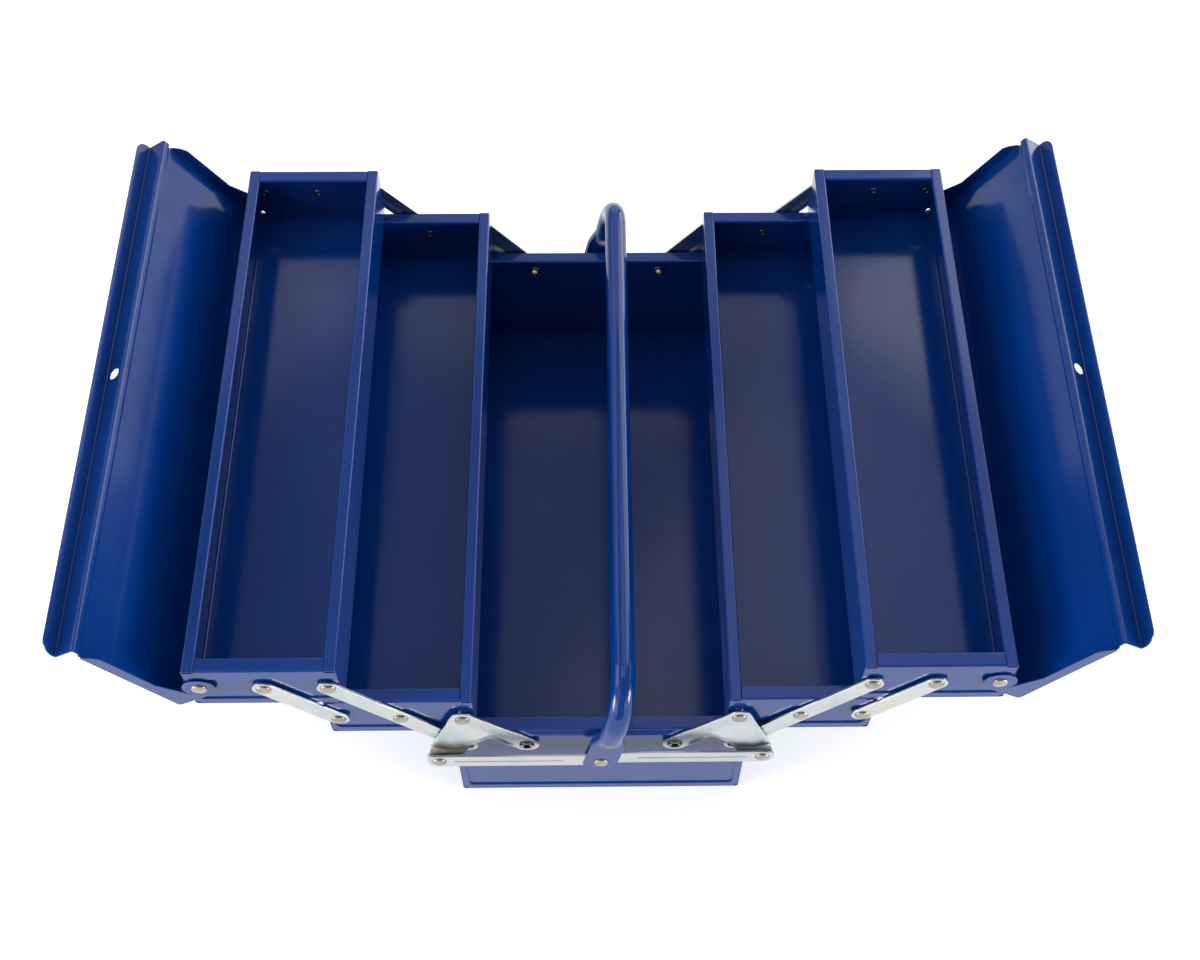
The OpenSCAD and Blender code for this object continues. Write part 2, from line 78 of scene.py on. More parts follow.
# Softboxes around the box: name, bearing from the back and height in degrees, size in metres, radiance
SOFTBOX_AT = (0, 0, 0.12)
SOFTBOX_AWAY = 1.7
LOW_BOX, MID_BOX, HIGH_BOX = (1.2, 0.7), (1.0, 0.7), (1.0, 0.7)
STROBE_BOX = (0.45, 0.5)
STROBE_UP, LOW_UP, MID_UP, HIGH_UP, TOP_UP = 7, 14, 39, 64, 89.5
SOFTBOXES = [
    ("low_back", 0, LOW_UP, LOW_BOX, 0.7),
    ("low_back_right", 45, LOW_UP, LOW_BOX, 3.2),
    ("low_right", 90, LOW_UP, LOW_BOX, 0.7),
    ("low_front_right", 135, LOW_UP, LOW_BOX, 1.7),
    ("low_front_left", 225, LOW_UP, LOW_BOX, 2.0),
    ("low_left", 270, LOW_UP, LOW_BOX, 0.5),
    ("low_back_left", 315, LOW_UP, LOW_BOX, 0.2),
    ("mid_back", 0, MID_UP, MID_BOX, 0.6),
    ("mid_back_right", 45, MID_UP, MID_BOX, 2.0),
    ("mid_front_left", 225, MID_UP, MID_BOX, 0.7),
    ("mid_left", 270, MID_UP, MID_BOX, 2.2),
    ("mid_back_left", 315, MID_UP, MID_BOX, 0.7),
    ("high_back", 0, HIGH_UP, HIGH_BOX, 0.2),
    ("high_back_right", 40, HIGH_UP, HIGH_BOX, 0.5),
    ("high_left", 270, HIGH_UP, HIGH_BOX, 0.2),
    ("top", 0, TOP_UP, HIGH_BOX, 0.9),
    ("strobe_right", 117, STROBE_UP, STROBE_BOX, 16),
    ("strobe_left", 243, STROBE_UP, STROBE_BOX, 16),
]

# Floor and sky, in metres and as shares of white
SKY_GLOW = 0.24
FLOOR_HALF = 3.0
FLOOR_GLOW = 0.55
FLOOR_NEAR, FLOOR_FAR = 0.8, 1.6
FLOOR_TINT = (0.98, 0.98, 1, 1)
FLOOR_GREY = (0.8, 0.8, 0.8, 1)
WHITE = (1, 1, 1, 1)

# Finishes: linear colours, and where each stands on a noise from 0 to 1
PAINT_BLUE = (0.0008, 0.041, 0.245, 1)
PAINT_DEEP = (0.0006, 0.035, 0.220, 1)
ZINC_PALE = (0.58, 0.61, 0.61, 1)
ZINC_COOL = (0.46, 0.55, 0.57, 1)
ZINC_WARM = (0.63, 0.60, 0.54, 1)
NICKEL_PALE = (0.43, 0.39, 0.34, 1)
NICKEL_DULL = (0.26, 0.235, 0.2, 1)
PAINT_STOPS = [(0.35, PAINT_DEEP), (0.65, PAINT_BLUE)]
ZINC_STOPS = [(0.3, ZINC_COOL), (0.5, ZINC_PALE), (0.72, ZINC_WARM)]
NICKEL_STOPS = [(0.3, NICKEL_DULL), (0.7, NICKEL_PALE)]

# Noise of the finishes: waves per metre and detail, and the stretch of the zinc's rolling marks
PAINT_SHADE, PAINT_GLOSS, PAINT_GRAIN = (14, 3), (60, 4), (620, 1)
ZINC_TINT, ZINC_MARKS, ROLLED_UP = (40, 3), (260, 5), (1, 1, 0.15)
NICKEL_SHADE, NICKEL_MARKS = (120, 2), (500, 4)

# Gloss, as the least and the greatest roughness, and relief, as depth in metres and strength
SHEET_GLOSS, GRIP_GLOSS = (0.1, 0.18), (0.05, 0.1)
ZINC_GLOSS, NICKEL_GLOSS = (0.22, 0.42), (0.1, 0.22)
SHEET_PEEL, GRIP_PEEL = (0.06 * MM, 0.6), (0.06 * MM, 0.12)
ZINC_RELIEF = (0.02 * MM, 0.3)

# The box's half length, and the pivots of the right side across and up, in millimetres
END_PLANE = 208.0
ENDS, SIDES = (-1, 1), (("right", 1), ("left", -1))
PLATE_BASE, PLATE_BAR, BAR_PIN = pivot("right_plate_swing"), pivot("right_bar_swing"), pivot("handle_swing")
ARM_BASE, ARM_LOWER, ARM_UPPER = pivot("right_fold"), pivot("right_lower_level"), pivot("right_upper_level")
SHORT_LOWER, LID_HINGE = pivot("right_short_swing"), pivot("right_lid_swing")
PLATE_TRAY = (ARM_BASE[0], ARM_LOWER[1])
SHORT_UPPER = ((ARM_UPPER[0] + LID_HINGE[0]) / 2, ARM_UPPER[1])

# Rivets, in millimetres outwards from the end plane, at the levels named first
RIVET_LEVELS = ("behind", "shoulder_from", "shoulder_to", "head_at")
ARM_RIVET = (-1.8, -1.0, 0.3, 2.3)
PLATE_RIVET = (-1.8, -1.0, 2.1, 3.85)
LID_RIVET = (-1.8, -1.0, 0.4, 1.4)
RIGHT_BAR_RIVET = (6.7, 8.2, 8.4, 10.1)
LEFT_BAR_RIVET = (6.7, 8.2, 10.1, 11.8)
PIN_RIVET = (7.0, 7.0, 7.2, 13.2)
SHANK_R, SHOULDER_R, PIN_R = 2.5, 3.2, 3.0
HEAD_R, HEAD_H, HEAD_ROUND = 5.0, 1.6, 0.85
TAIL_H, TAIL_HOLLOW_R = 1.0, 1.4

# Steps of round shapes, and the angle in radians of a rivet head's last station
ROUND_STEPS, RING_STEPS, HEAD_STATIONS, HEAD_TIP = 32, 14, 14, 0.03

# Corner plates, in millimetres along the limb from the eyelet and across it
LIMB_R, NOTCH_AT, NOTCH_FILLET = 8.5, 30.0, 5.0
PLATE_T, EYELET_HOLE_R, RIVET_HOLE_R = 1.5, 3.25, 2.55

# Mesh of the pressed links, in millimetres, square millimetres for slivers and degrees for arcs
SHEET_GRID, SHEET_STEP, GRID_CLEAR = 1.2, 1.0, 0.72
SAME_POINT, WELD, SLIVER = 1e-4, 1e-5, 0.02
ARC_STEP, HOLE_STEP = 5, 10
HULL_TRIANGLES = 0

# Arms: half width, thickness, level of the middle, and the bead pressed along them between the rivets
ARM_R, ARM_T, ARM_LEVEL = 7.2, 1.8, 1.3
BEAD_H, BEAD_CLEAR, BEAD_RISE = 0.6, 11.0, (2.6, 1.3)

# Levels of the plates' middle, in millimetres outwards from the end plane, and the distances over which
# each gives way to the next
EYELET_PAD, TRAY_PAD, WEB_LEVEL, CRANK_LEVEL = 1.15, 3.0, 5.05, 7.45
EYELET_RISE, TRAY_RISE, CRANK_RISE = (7.5, 12.0), (6.5, 14.0), (9.0, 4.0)
WEB_RISE = (2.0, 14.0)
CRANK_REACH = 31.0
ROLL_WIDTH, ROLL_DROP, ROLL_FADE = 6.0, 1.5, (8.5, 14.0)
FACET_IN, FACET_SLOPE = 2.2, 0.13

# Hollow eyelets of the base, in millimetres outwards from the end plane
EYELET_FOOT, EYELET_TOP = -2.8, 3.0
EYELET_COLLAR = (-1.0, 0.3)
EYELET_BORE_R, EYELET_R, EYELET_FLANGE_R, EYELET_FLANGE_H = 2.4, 3.2, 5.4, 1.0

# Tube handle, in millimetres from its pins, and its lean in degrees
TUBE_R, TUBE_WALL = 8.0, 1.2
HALF_SPAN, LEG_LENGTH, GRIP_BEND = 218.1, 81.0, 30.0
FLAT_W, FLAT_T, FLAT_UP, FLAT_DOWN, FLAT_TAPER = 24.0, 6.0, 23.0, 9.0, 18.0
FLAT_CORNER, SLOT_T, PIN_HOLE_R = 3.0, 3.6, 3.05
HANDLE_LEAN = 10.3
TUBE_STEP, SLOT_SPARE = 1.5, 5.0
TUBE_STEPS, BEND_STEPS = 48, 24

# Corners of the handle's middle line, numbered from 0, and the number halfway along it
HANDLE_CORNERS, MIDDLE_CORNER = 4, 1.5

# Rounding of the sheet's and the links' edges, in metres and degrees
SHEET_EDGE, LINK_EDGE, EDGE_SEGMENTS = 0.25 * MM, 0.3 * MM, 2
COPLANAR_ANGLE, EDGE_ANGLE, SMOOTH_ANGLE, RIM_ANGLE = 0.5, 35, 40, 55
MERGE_DISTANCE = 0.002 * MM
AREA_WEIGHT = 100

CORNERS = ("right_front", "right_back", "left_front", "left_back")


# Materials
def new_material(name):
    """A material with its node tree and its shader."""
    material = bpy.data.materials.new(name)
    material.use_nodes = True
    tree = material.node_tree
    shader = tree.nodes["Principled BSDF"]
    return material, tree, shader


def noise(tree, scale, detail, stretch=(1, 1, 1)):
    """A noise texture on object coordinates, scale being waves per metre."""
    place = tree.nodes.new("ShaderNodeTexCoord")
    mapping = tree.nodes.new("ShaderNodeMapping")
    mapping.inputs["Scale"].default_value = stretch
    texture = tree.nodes.new("ShaderNodeTexNoise")
    texture.inputs["Scale"].default_value = scale
    texture.inputs["Detail"].default_value = detail
    tree.links.new(place.outputs["Object"], mapping.inputs["Vector"])
    tree.links.new(mapping.outputs["Vector"], texture.inputs["Vector"])
    return texture.outputs["Fac"]


def ramp(tree, value, stops):
    """A colour that goes through the stops as the value rises."""
    node = tree.nodes.new("ShaderNodeValToRGB")
    elements = node.color_ramp.elements
    for at, _ in stops[1:-1]:
        elements.new(at)
    for element, (at, colour) in zip(elements, stops):
        element.position = at
        element.color = colour
    tree.links.new(value, node.inputs["Fac"])
    return node.outputs["Color"]


def map_range(tree, value, low, high):
    """A value from 0 to 1 made to run from low to high."""
    node = tree.nodes.new("ShaderNodeMapRange")
    node.inputs["To Min"].default_value = low
    node.inputs["To Max"].default_value = high
    tree.links.new(value, node.inputs["Value"])
    return node.outputs["Result"]


def bump(tree, shader, height, distance, strength):
    """Relief on a shader, from a height and its depth in metres."""
    node = tree.nodes.new("ShaderNodeBump")
    node.inputs["Distance"].default_value = distance
    node.inputs["Strength"].default_value = strength
    tree.links.new(height, node.inputs["Height"])
    tree.links.new(node.outputs["Normal"], shader.inputs["Normal"])


def powder_coat(name, gloss, peel):
    """Glossy blue powder coat with a slight orange peel."""
    material, tree, shader = new_material(name)
    colour = ramp(tree, noise(tree, *PAINT_SHADE), PAINT_STOPS)
    tree.links.new(colour, shader.inputs["Base Color"])
    roughness = map_range(tree, noise(tree, *PAINT_GLOSS), *gloss)
    tree.links.new(roughness, shader.inputs["Roughness"])
    bump(tree, shader, noise(tree, *PAINT_GRAIN), *peel)
    return material


def zinc_plate():
    """Bright zinc with a faint passivation tint and fine rolling marks."""
    material, tree, shader = new_material("bright_zinc_plate")
    colour = ramp(tree, noise(tree, *ZINC_TINT), ZINC_STOPS)
    tree.links.new(colour, shader.inputs["Base Color"])
    marks = noise(tree, *ZINC_MARKS, ROLLED_UP)
    tree.links.new(map_range(tree, marks, *ZINC_GLOSS), shader.inputs["Roughness"])
    bump(tree, shader, marks, *ZINC_RELIEF)
    shader.inputs["Metallic"].default_value = 1
    return material


def nickel_plate():
    """Nickel-plated rivets with faint handling marks."""
    material, tree, shader = new_material("nickel_plate")
    colour = ramp(tree, noise(tree, *NICKEL_SHADE), NICKEL_STOPS)
    tree.links.new(colour, shader.inputs["Base Color"])
    marks = noise(tree, *NICKEL_MARKS)
    tree.links.new(map_range(tree, marks, *NICKEL_GLOSS), shader.inputs["Roughness"])
    shader.inputs["Metallic"].default_value = 1
    return material


finishes = {"paint": powder_coat("blue_powder_coat", SHEET_GLOSS, SHEET_PEEL),
            "grip": powder_coat("blue_gloss_enamel", GRIP_GLOSS, GRIP_PEEL),
            "links": zinc_plate(), "rivets": nickel_plate()}


# Geometry nodes
def start_tree(name, sizes):
    """A geometry node tree with a named input for each size, in metres."""
    tree = bpy.data.node_groups.new(name, "GeometryNodeTree")
    tree.interface.new_socket("Geometry", in_out="INPUT", socket_type="NodeSocketGeometry")
    for label, value in sizes.items():
        socket = tree.interface.new_socket(label, in_out="INPUT", socket_type="NodeSocketFloat")
        socket.default_value = value
    tree.interface.new_socket("Finish", in_out="INPUT", socket_type="NodeSocketMaterial")
    tree.interface.new_socket("Geometry", in_out="OUTPUT", socket_type="NodeSocketGeometry")
    return tree, tree.nodes.new("NodeGroupInput").outputs


def feed(tree, socket, value):
    """Links an output to a socket, or sets the socket to a plain value."""
    if isinstance(value, bpy.types.NodeSocket):
        tree.links.new(value, socket)
    else:
        socket.default_value = value


def add(tree, kind, sockets, output=0, **settings):
    """Adds a node with its settings and inputs, and returns one of its outputs."""
    node = tree.nodes.new(kind)
    for name, value in settings.items():
        setattr(node, name, value)
    for name, value in sockets.items():
        feed(tree, node.inputs[name], value)
    return node.outputs[output]


def calc(tree, operation, *values):
    """The result of a math node on one or two values."""
    return add(tree, "ShaderNodeMath", dict(enumerate(values)), operation=operation)


def half(tree, value):
    """Half of a value."""
    return calc(tree, "MULTIPLY", value, 0.5)


def between(tree, low, high):
    """The value midway between two."""
    return half(tree, calc(tree, "ADD", low, high))


def vector(tree, x, y, z):
    """A vector put together from three values."""
    return add(tree, "ShaderNodeCombineXYZ", {"X": x, "Y": y, "Z": z})


def scaled(tree, direction, length):
    """A direction made as long as the length."""
    node = tree.nodes.new("ShaderNodeVectorMath")
    node.operation = "SCALE"
    feed(tree, node.inputs[0], direction)
    feed(tree, node.inputs["Scale"], length)
    return node.outputs[0]


def attribute(tree, name, kind="FLOAT"):
    """A value that each point of the input mesh carries."""
    return add(tree, "GeometryNodeInputNamedAttribute", {"Name": name}, data_type=kind)


def join(tree, *pieces):
    """All the pieces as one shape."""
    node = tree.nodes.new("GeometryNodeJoinGeometry")
    for piece in pieces:
        tree.links.new(piece, node.inputs[0])
    return node.outputs[0]


def end_tree(tree, shape, finish):
    """Makes the shape real, gives it its finish and hands it out."""
    whole = add(tree, "GeometryNodeRealizeInstances", {"Geometry": shape})
    whole = add(tree, "GeometryNodeSetMaterial", {"Geometry": whole, "Material": finish})
    out = tree.nodes.new("NodeGroupOutput")
    tree.links.new(whole, out.inputs["Geometry"])


def drum(tree):
    """A unit cylinder that stands on the ground plane."""
    body = add(tree, "GeometryNodeMeshCylinder", {"Vertices": ROUND_STEPS, "Radius": 1.0, "Depth": 1.0})
    return add(tree, "GeometryNodeTransform", {"Geometry": body, "Translation": (0, 0, 0.5)})


def rolled_ring(tree, inner, outer, height):
    """A ring with an oval section, as a rolled edge leaves it, centred on its middle height."""
    middle = between(tree, inner, outer)
    half_width = half(tree, calc(tree, "SUBTRACT", outer, inner))
    path = add(tree, "GeometryNodeCurvePrimitiveCircle", {"Resolution": ROUND_STEPS, "Radius": middle})
    section = add(tree, "GeometryNodeCurvePrimitiveCircle", {"Resolution": RING_STEPS, "Radius": 1.0})
    section = add(tree, "GeometryNodeTransform",
                  {"Geometry": section, "Scale": vector(tree, half_width, half(tree, height), 1.0)})
    return add(tree, "GeometryNodeCurveToMesh", {"Curve": path, "Profile Curve": section})


def flat_ring(tree, inner, outer, height):
    """A ring with a square section, centred on its middle height."""
    middle = between(tree, inner, outer)
    path = add(tree, "GeometryNodeCurvePrimitiveCircle", {"Resolution": ROUND_STEPS, "Radius": middle})
    section = add(tree, "GeometryNodeCurvePrimitiveQuadrilateral",
                  {"Width": calc(tree, "SUBTRACT", outer, inner), "Height": height})
    return add(tree, "GeometryNodeCurveToMesh", {"Curve": path, "Profile Curve": section})


def domed_head(tree, radius, height):
    """A flat-topped dome with a rounded edge, swept along its own axis with a radius at each station."""
    index = add(tree, "GeometryNodeInputIndex", {})
    angle = add(tree, "ShaderNodeMapRange",
                {"Value": index, "From Min": 0.0, "From Max": HEAD_STATIONS - 1.0,
                 "To Min": math.pi / 2, "To Max": HEAD_TIP})
    reach = calc(tree, "MULTIPLY", radius, calc(tree, "POWER", calc(tree, "SINE", angle), HEAD_ROUND))
    upright = calc(tree, "MAXIMUM", calc(tree, "COSINE", angle), 0.0)
    lift = calc(tree, "MULTIPLY", height, calc(tree, "POWER", upright, HEAD_ROUND))
    line = add(tree, "GeometryNodeMeshLine", {"Count": HEAD_STATIONS})
    line = add(tree, "GeometryNodeSetPosition", {"Geometry": line, "Position": vector(tree, 0.0, 0.0, lift)})
    axis = add(tree, "GeometryNodeMeshToCurve", {"Mesh": line})
    section = add(tree, "GeometryNodeCurvePrimitiveCircle", {"Resolution": ROUND_STEPS, "Radius": 1.0})
    return add(tree, "GeometryNodeCurveToMesh",
               {"Curve": axis, "Profile Curve": section, "Scale": reach, "Fill Caps": True})


def stand_at(tree, points, level, shape, size=(1, 1, 1)):
    """Stands a shape at each point, level metres out along the way that the point faces."""
    facing = attribute(tree, "facing", "FLOAT_VECTOR")
    moved = add(tree, "GeometryNodeSetPosition", {"Geometry": points, "Offset": scaled(tree, facing, level)})
    turn = add(tree, "FunctionNodeAlignRotationToVector", {"Vector": facing}, axis="Z")
    return add(tree, "GeometryNodeInstanceOnPoints",
               {"Points": moved, "Instance": shape, "Rotation": turn, "Scale": size})


def rivet_tree():
    """Domed rivets with a shank, a shoulder and a rolled tail, one at each point of the input mesh."""
    tree, sizes = start_tree("domed_rivets", {
        "Head Radius": HEAD_R * MM, "Head Height": HEAD_H * MM,
        "Shoulder Radius": SHOULDER_R * MM, "Tail Height": TAIL_H * MM, "Tail Hollow": TAIL_HOLLOW_R * MM})
    points = sizes["Geometry"]
    behind, head_at = attribute(tree, "behind"), attribute(tree, "head_at")
    shoulder_from, shoulder_to = attribute(tree, "shoulder_from"), attribute(tree, "shoulder_to")
    shank = attribute(tree, "shank")
    head = domed_head(tree, sizes["Head Radius"], sizes["Head Height"])
    tail = rolled_ring(tree, sizes["Tail Hollow"], sizes["Shoulder Radius"], sizes["Tail Height"])
    tail_at = calc(tree, "SUBTRACT", behind, half(tree, sizes["Tail Height"]))
    body = drum(tree)
    shank_size = vector(tree, shank, shank, calc(tree, "SUBTRACT", head_at, behind))
    wide = sizes["Shoulder Radius"]
    shoulder_size = vector(tree, wide, wide, calc(tree, "SUBTRACT", shoulder_to, shoulder_from))
    whole = join(tree,
                 stand_at(tree, points, head_at, head),
                 stand_at(tree, points, behind, body, shank_size),
                 stand_at(tree, points, shoulder_from, body, shoulder_size),
                 stand_at(tree, points, tail_at, tail))
    end_tree(tree, whole, sizes["Finish"])
    return tree


def eyelet_tree():
    """Hollow eyelets with a barrel, a collar and two rolled flanges, one at each point of the input mesh."""
    tree, sizes = start_tree("hollow_eyelets", {
        "Bore": EYELET_BORE_R * MM, "Barrel": EYELET_R * MM, "Flange": EYELET_FLANGE_R * MM,
        "Flange Height": EYELET_FLANGE_H * MM, "Foot": EYELET_FOOT * MM, "Top": EYELET_TOP * MM,
        "Collar From": EYELET_COLLAR[0] * MM, "Collar To": EYELET_COLLAR[1] * MM})
    points = sizes["Geometry"]
    half_flange = half(tree, sizes["Flange Height"])
    foot = calc(tree, "ADD", sizes["Foot"], half_flange)
    top = calc(tree, "SUBTRACT", sizes["Top"], half_flange)
    flange = rolled_ring(tree, sizes["Bore"], sizes["Flange"], sizes["Flange Height"])
    barrel = flat_ring(tree, sizes["Bore"], sizes["Barrel"], calc(tree, "SUBTRACT", top, foot))
    low, high = sizes["Collar From"], sizes["Collar To"]
    collar = flat_ring(tree, sizes["Barrel"], sizes["Flange"], calc(tree, "SUBTRACT", high, low))
    whole = join(tree,
                 stand_at(tree, points, foot, flange),
                 stand_at(tree, points, top, flange),
                 stand_at(tree, points, between(tree, top, foot), barrel),
                 stand_at(tree, points, between(tree, low, high), collar))
    end_tree(tree, whole, sizes["Finish"])
    return tree


def handle_path(tree, sizes):
    """The tube's middle line: up one leg, along the grip and down the other leg, with rounded bends."""
    index = add(tree, "GeometryNodeInputIndex", {})
    at_back = calc(tree, "GREATER_THAN", index, MIDDLE_CORNER)
    end = calc(tree, "SUBTRACT", calc(tree, "MULTIPLY", at_back, 2.0), 1.0)
    across = calc(tree, "MULTIPLY", end, sizes["Half Span"])
    from_middle = calc(tree, "ABSOLUTE", calc(tree, "SUBTRACT", index, MIDDLE_CORNER))
    at_grip = calc(tree, "LESS_THAN", from_middle, 1.0)
    rise = calc(tree, "ADD", sizes["Leg Length"], sizes["Flat Down"])
    up = calc(tree, "SUBTRACT", calc(tree, "MULTIPLY", at_grip, rise), sizes["Flat Down"])
    line = add(tree, "GeometryNodeMeshLine", {"Count": HANDLE_CORNERS})
    corners = vector(tree, 0.0, across, up)
    line = add(tree, "GeometryNodeSetPosition", {"Geometry": line, "Position": corners})
    path = add(tree, "GeometryNodeMeshToCurve", {"Mesh": line})
    path = add(tree, "GeometryNodeFilletCurve",
               {"Curve": path, "Count": BEND_STEPS, "Radius": sizes["Grip Bend"]}, mode="POLY")
    return add(tree, "GeometryNodeResampleCurve", {"Curve": path, "Length": sizes["Step"]}, mode="LENGTH")


def pressed_ends(tree, tube, sizes):
    """Presses the tube's ends flat: the wall moves in until it meets the flat, and the section widens."""
    split = tree.nodes.new("ShaderNodeSeparateXYZ")
    feed(tree, split.inputs[0], add(tree, "GeometryNodeInputPosition", {}))
    x, y, z = split.outputs
    radius, half_t = sizes["Tube Radius"], half(tree, sizes["Flat Thickness"])
    side = calc(tree, "SIGN", y)
    middle = calc(tree, "MULTIPLY", side, sizes["Half Span"])
    out = calc(tree, "SUBTRACT", y, middle)
    taper_top = calc(tree, "ADD", sizes["Flat Up"], sizes["Flat Taper"])
    pressed = add(tree, "ShaderNodeMapRange",
                  {"Value": z, "From Min": taper_top, "From Max": sizes["Flat Up"],
                   "To Min": 0.0, "To Max": 1.0}, interpolation_type="SMOOTHSTEP")
    drop = calc(tree, "MULTIPLY", pressed, calc(tree, "SUBTRACT", radius, half_t))
    depth = calc(tree, "ABSOLUTE", out)
    least = calc(tree, "MINIMUM", depth, half_t)
    depth = calc(tree, "MAXIMUM", least, calc(tree, "SUBTRACT", depth, drop))
    new_y = calc(tree, "ADD", middle, calc(tree, "MULTIPLY", calc(tree, "SIGN", out), depth))
    half_w = half(tree, sizes["Flat Width"])
    wider = calc(tree, "SUBTRACT", calc(tree, "DIVIDE", half_w, radius), 1.0)
    new_x = calc(tree, "MULTIPLY", x, calc(tree, "ADD", 1.0, calc(tree, "MULTIPLY", pressed, wider)))
    corner = sizes["Flat Corner"]
    above = calc(tree, "ADD", z, sizes["Flat Down"])
    into = calc(tree, "MAXIMUM", calc(tree, "SUBTRACT", corner, above), 0.0)
    corner_square, into_square = calc(tree, "POWER", corner, 2.0), calc(tree, "POWER", into, 2.0)
    chord = calc(tree, "SQRT", calc(tree, "SUBTRACT", corner_square, into_square))
    limit = calc(tree, "ADD", calc(tree, "SUBTRACT", half_w, corner), chord)
    new_x = calc(tree, "MULTIPLY", new_x, calc(tree, "DIVIDE", limit, half_w))
    place = vector(tree, new_x, new_y, z)
    return add(tree, "GeometryNodeSetPosition", {"Geometry": tube, "Position": place})


def end_cuts(tree, sizes):
    """The slot in which the bars lie and the pin's hole, at both ends."""
    cuts = []
    flat = calc(tree, "ADD", sizes["Flat Up"], sizes["Flat Down"])
    tall = calc(tree, "ADD", calc(tree, "SUBTRACT", flat, sizes["Tube Wall"]), SLOT_SPARE * MM)
    middle = calc(tree, "SUBTRACT", half(tree, tall), SLOT_SPARE * MM)
    middle = calc(tree, "SUBTRACT", middle, sizes["Flat Down"])
    wide = calc(tree, "MULTIPLY", sizes["Flat Width"], 2.0)
    slot = add(tree, "GeometryNodeMeshCube", {"Size": vector(tree, wide, sizes["Slot"], tall)})
    bore = add(tree, "GeometryNodeMeshCylinder",
               {"Vertices": ROUND_STEPS, "Radius": sizes["Pin Hole"],
                "Depth": calc(tree, "MULTIPLY", sizes["Flat Thickness"], 2.0)})
    for end in ENDS:
        at = calc(tree, "MULTIPLY", sizes["Half Span"], end)
        cuts.append(add(tree, "GeometryNodeTransform",
                        {"Geometry": slot, "Translation": vector(tree, 0.0, at, middle)}))
        cuts.append(add(tree, "GeometryNodeTransform",
                        {"Geometry": bore, "Translation": vector(tree, 0.0, at, 0.0),
                         "Rotation": (math.pi / 2, 0, 0)}))
    return cuts


def handle_tree():
    """A bent tube whose pressed ends are slotted for the bars and pinned."""
    tree, sizes = start_tree("tube_handle", {
        "Half Span": HALF_SPAN * MM, "Leg Length": LEG_LENGTH * MM, "Grip Bend": GRIP_BEND * MM,
        "Tube Radius": TUBE_R * MM, "Tube Wall": TUBE_WALL * MM, "Flat Width": FLAT_W * MM,
        "Flat Thickness": FLAT_T * MM, "Flat Up": FLAT_UP * MM, "Flat Down": FLAT_DOWN * MM,
        "Flat Taper": FLAT_TAPER * MM, "Flat Corner": FLAT_CORNER * MM, "Slot": SLOT_T * MM,
        "Pin Hole": PIN_HOLE_R * MM, "Step": TUBE_STEP * MM,
        "Lean": math.radians(HANDLE_LEAN), "Pin Height": BAR_PIN[1] * MM})
    section = add(tree, "GeometryNodeCurvePrimitiveCircle",
                  {"Resolution": TUBE_STEPS, "Radius": sizes["Tube Radius"]})
    tube = add(tree, "GeometryNodeCurveToMesh",
               {"Curve": handle_path(tree, sizes), "Profile Curve": section, "Fill Caps": True})
    tube = pressed_ends(tree, tube, sizes)
    cut = tree.nodes.new("GeometryNodeMeshBoolean")
    cut.operation = "DIFFERENCE"
    cut.solver = "EXACT"
    tree.links.new(tube, cut.inputs["Mesh 1"])
    for piece in end_cuts(tree, sizes):
        tree.links.new(piece, cut.inputs["Mesh 2"])
    turn = add(tree, "FunctionNodeEulerToRotation", {"Euler": vector(tree, 0.0, sizes["Lean"], 0.0)})
    whole = add(tree, "GeometryNodeTransform",
                {"Geometry": cut.outputs["Mesh"], "Rotation": turn,
                 "Translation": vector(tree, 0.0, 0.0, sizes["Pin Height"])})
    end_tree(tree, whole, sizes["Finish"])
    return tree


# Pieces
def settle(obj):
    """Replaces an object's mesh with its evaluated one and drops the modifiers."""
    graph = bpy.context.evaluated_depsgraph_get()
    mesh = bpy.data.meshes.new_from_object(obj.evaluated_get(graph))
    obj.modifiers.clear()
    obj.data = mesh
    mesh.name = obj.name


def grow(name, mesh, tree, finish):
    """Runs a node tree on a mesh and keeps the result as a plain mesh object at the origin."""
    obj = bpy.data.objects.new(name, mesh)
    bpy.context.scene.collection.objects.link(obj)
    modifier = obj.modifiers.new("grow", "NODES")
    modifier.node_group = tree
    for item in tree.interface.items_tree:
        if item.in_out == "INPUT" and item.socket_type == "NodeSocketMaterial":
            modifier[item.identifier] = finish
        elif item.in_out == "INPUT" and item.socket_type == "NodeSocketFloat":
            modifier[item.identifier] = item.default_value
    settle(obj)
    return obj


def close_up(obj):
    """Merges doubles, turns the faces outwards and smooths all but the sharp edges."""
    shape = bmesh.new()
    shape.from_mesh(obj.data)
    bmesh.ops.remove_doubles(shape, verts=shape.verts, dist=MERGE_DISTANCE)
    bmesh.ops.recalc_face_normals(shape, faces=shape.faces)
    shape.to_mesh(obj.data)
    shape.free()
    obj.data.shade_smooth()
    obj.data.set_sharp_from_angle(angle=math.radians(SMOOTH_ANGLE))


def fit_in(obj, node):
    """Gives a new piece its body and hides the CAD node that it stands for."""
    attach(obj, body_of[node])
    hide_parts(node)


def end_points(name, places):
    """A mesh of loose points that face outwards, one at each end of the box for each place across and up."""
    points, facing = [], []
    for across, up in places:
        for end in ENDS:
            points.append((across * MM, end * END_PLANE * MM, up * MM))
            facing.extend((0.0, end, 0.0))
    mesh = bpy.data.meshes.new(name)
    mesh.from_pydata(points, [], [])
    mesh.attributes.new("facing", "FLOAT_VECTOR", "POINT").data.foreach_set("vector", facing)
    return mesh


def carry(mesh, label, sizes):
    """Gives each size, in millimetres, to its points at both ends."""
    values = [size * MM for size in sizes for end in ENDS]
    mesh.attributes.new(label, "FLOAT", "POINT").data.foreach_set("value", values)


def rivet_points(name, rows):
    """End points with the levels and the shank of each rivet, from rows of across, up, levels and shank."""
    mesh = end_points(name, [(across, up) for across, up, levels, shank in rows])
    for at, label in enumerate(RIVET_LEVELS):
        carry(mesh, label, [levels[at] for across, up, levels, shank in rows])
    carry(mesh, "shank", [shank for across, up, levels, shank in rows])
    return mesh


